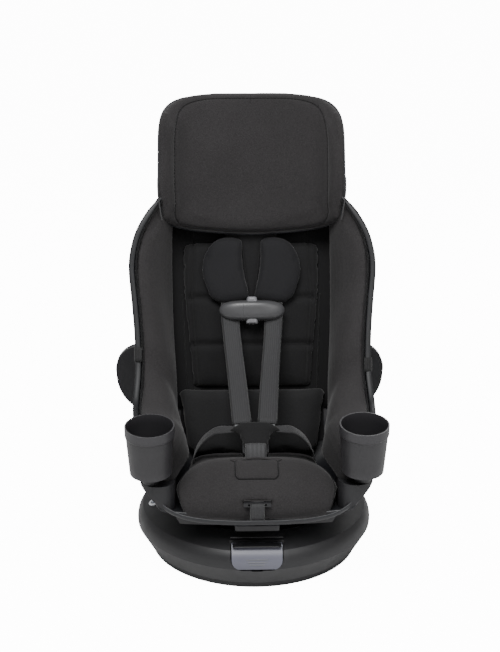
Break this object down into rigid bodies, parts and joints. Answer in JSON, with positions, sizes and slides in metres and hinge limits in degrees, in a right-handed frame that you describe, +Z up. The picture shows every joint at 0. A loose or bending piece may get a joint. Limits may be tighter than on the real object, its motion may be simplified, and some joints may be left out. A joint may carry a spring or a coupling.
{
  "type": "convertible car seat",
  "caption": "Rotating convertible child car seat with a raised headrest, buckled harness, lift-off cup holders, a round swivel base and a rebound panel.",
  "frame": {"origin": "on the swivel axis, on the plane that the base stands on", "axes": "+Z up, -Y is where the seated child faces, +X is the child's left"},
  "size_m": [0.5596, 0.6277, 0.8095],
  "materials": {
    "base_plastic": "moulded polypropylene with a fine grain",
    "dark_plastic": "moulded polypropylene, fine grain",
    "shell_plastic": "moulded polypropylene, satin",
    "cup_plastic": "moulded polypropylene, satin",
    "handle_plastic": "moulded, satin grey",
    "grey_plastic": "moulded, satin mid grey",
    "silver_plastic": "moulded, silver grey",
    "white_plastic": "moulded white ring",
    "blue_plastic": "moulded ball",
    "clear": "clear moulded lens",
    "rubber": "soft non-slip pads",
    "steel": "zinc-plated steel",
    "chrome": "plated steel",
    "foam": "expanded polypropylene beads",
    "grey_fabric": "soft knitted melange cover over padding",
    "black_fabric": "soft knitted cover over padding",
    "webbing": "woven polyester webbing"
  },
  "bodies": {
    "base": {"base_tray": "dark_plastic", "base_feet": "rubber", "base_housing": "base_plastic", "base_frame": "steel", "bearing_plate": "steel", "bearing_race": "steel", "bearing_balls": "steel", "rebound_panel_front": "base_plastic", "rebound_panel_rear": "dark_plastic", "rebound_hoop": "steel", "level_bezel": "white_plastic", "level_lens": "clear", "level_ball": "blue_plastic"},
    "turntable": {"turntable_disc": "dark_plastic", "hub_nut": "steel", "recline_cradle": "dark_plastic"},
    "seat": {"seat_shell": "shell_plastic", "bolster_left": "grey_fabric", "bolster_right": "grey_fabric", "impact_foam": "foam", "seat_pod": "dark_plastic", "recline_runners": "steel", "recline_rack": "steel", "back_cover": "dark_plastic", "back_liner": "black_fabric", "back_pad": "black_fabric", "hip_pad": "black_fabric", "seat_cushion": "grey_fabric", "adjuster_strap": "webbing", "adjuster_bezel": "dark_plastic", "crotch_strap": "webbing", "buckle_housing": "dark_plastic", "buckle_cover": "black_fabric", "buckle_tongues": "chrome", "shoulder_strap_left": "webbing", "shoulder_strap_right": "webbing", "lap_straps": "webbing", "cup_brackets": "dark_plastic"},
    "headrest": {"headrest_shell": "shell_plastic", "headrest_pad": "grey_fabric", "headrest_stem": "dark_plastic", "harness_cover_left": "black_fabric", "harness_cover_right": "black_fabric", "chest_clip_tongue": "shell_plastic", "chest_clip_body": "shell_plastic"},
    "headrest_lever": {"headrest_lever": "handle_plastic"},
    "chest_clip_button_top": {"chest_clip_button_top": "silver_plastic"},
    "chest_clip_button_bottom": {"chest_clip_button_bottom": "silver_plastic"},
    "buckle_button": {"buckle_button": "grey_plastic"},
    "swivel_lever": {"swivel_lever": "dark_plastic"},
    "cup_holder_left": {"cup_holder_left": "cup_plastic"},
    "cup_holder_right": {"cup_holder_right": "cup_plastic"},
    "recline_handle": {"recline_handle": "handle_plastic", "recline_rod": "steel"},
    "recline_plunger": {"recline_plunger": "steel"},
    "latch_arms": {"latch_arms": "steel", "latch_head_left": "dark_plastic", "latch_head_right": "dark_plastic"},
    "latch_button_left": {"latch_button_left": "grey_plastic"},
    "latch_button_right": {"latch_button_right": "grey_plastic"}
  },
  "joints": [
    {"name": "swivel", "type": "hinge", "parent": "base", "child": "turntable", "pos_m": [0, 0, 0.03], "axis": [0, 0, 1], "continuous": true},
    {"name": "recline", "type": "hinge", "parent": "turntable", "child": "seat", "pos_m": [0, 0, 0.3], "axis": [-1, 0, 0], "range_deg": [0, 18]},
    {"name": "headrest_height", "type": "slide", "parent": "seat", "child": "headrest", "axis": [0, 0.3584, 0.9336], "range_m": [-0.15, 0], "deforming": ["shoulder_strap_left", "shoulder_strap_right"]},
    {"name": "headrest_release", "type": "slide", "parent": "headrest", "child": "headrest_lever", "axis": [0, 0.3584, 0.9336], "range_m": [0, 0.008], "stiffness_N_per_m": 400},
    {"name": "chest_clip_release_top", "type": "slide", "parent": "headrest", "child": "chest_clip_button_top", "axis": [0, -0.3584, -0.9336], "range_m": [0, 0.002], "stiffness_N_per_m": 400},
    {"name": "chest_clip_release_bottom", "type": "slide", "parent": "headrest", "child": "chest_clip_button_bottom", "axis": [0, 0.3584, 0.9336], "range_m": [0, 0.002], "stiffness_N_per_m": 400},
    {"name": "buckle_release", "type": "slide", "parent": "seat", "child": "buckle_button", "axis": [0, 0.4848, -0.8746], "range_m": [0, 0.002], "stiffness_N_per_m": 400},
    {"name": "swivel_release", "type": "slide", "parent": "seat", "child": "swivel_lever", "axis": [0, -1, 0], "range_m": [0, 0.01], "stiffness_N_per_m": 400},
    {"name": "cup_holder_left_lift", "type": "slide", "parent": "seat", "child": "cup_holder_left", "axis": [0, -0.1149, 0.9934], "range_m": [0, 0.06]},
    {"name": "cup_holder_right_lift", "type": "slide", "parent": "seat", "child": "cup_holder_right", "axis": [0, -0.1149, 0.9934], "range_m": [0, 0.06]},
    {"name": "recline_pull", "type": "slide", "parent": "base", "child": "recline_handle", "axis": [0, -1, 0], "range_m": [0, 0.012], "stiffness_N_per_m": 400},
    {"name": "recline_plunger_drop", "type": "slide", "parent": "turntable", "child": "recline_plunger", "axis": [0, 0, -1], "range_m": [0, 0.00192]},
    {"name": "anchor_arms_extend", "type": "slide", "parent": "base", "child": "latch_arms", "axis": [0, 1, 0], "range_m": [0, 0.075]},
    {"name": "anchor_release_left", "type": "slide", "parent": "latch_arms", "child": "latch_button_left", "axis": [0, 0, -1], "range_m": [0, 0.003], "stiffness_N_per_m": 400},
    {"name": "anchor_release_right", "type": "slide", "parent": "latch_arms", "child": "latch_button_right", "axis": [0, 0, -1], "range_m": [0, 0.003], "stiffness_N_per_m": 400}
  ],
  "couplings": [
    {"joint": "recline_plunger_drop", "follows": "recline_pull", "ratio": 0.16}
  ]
}
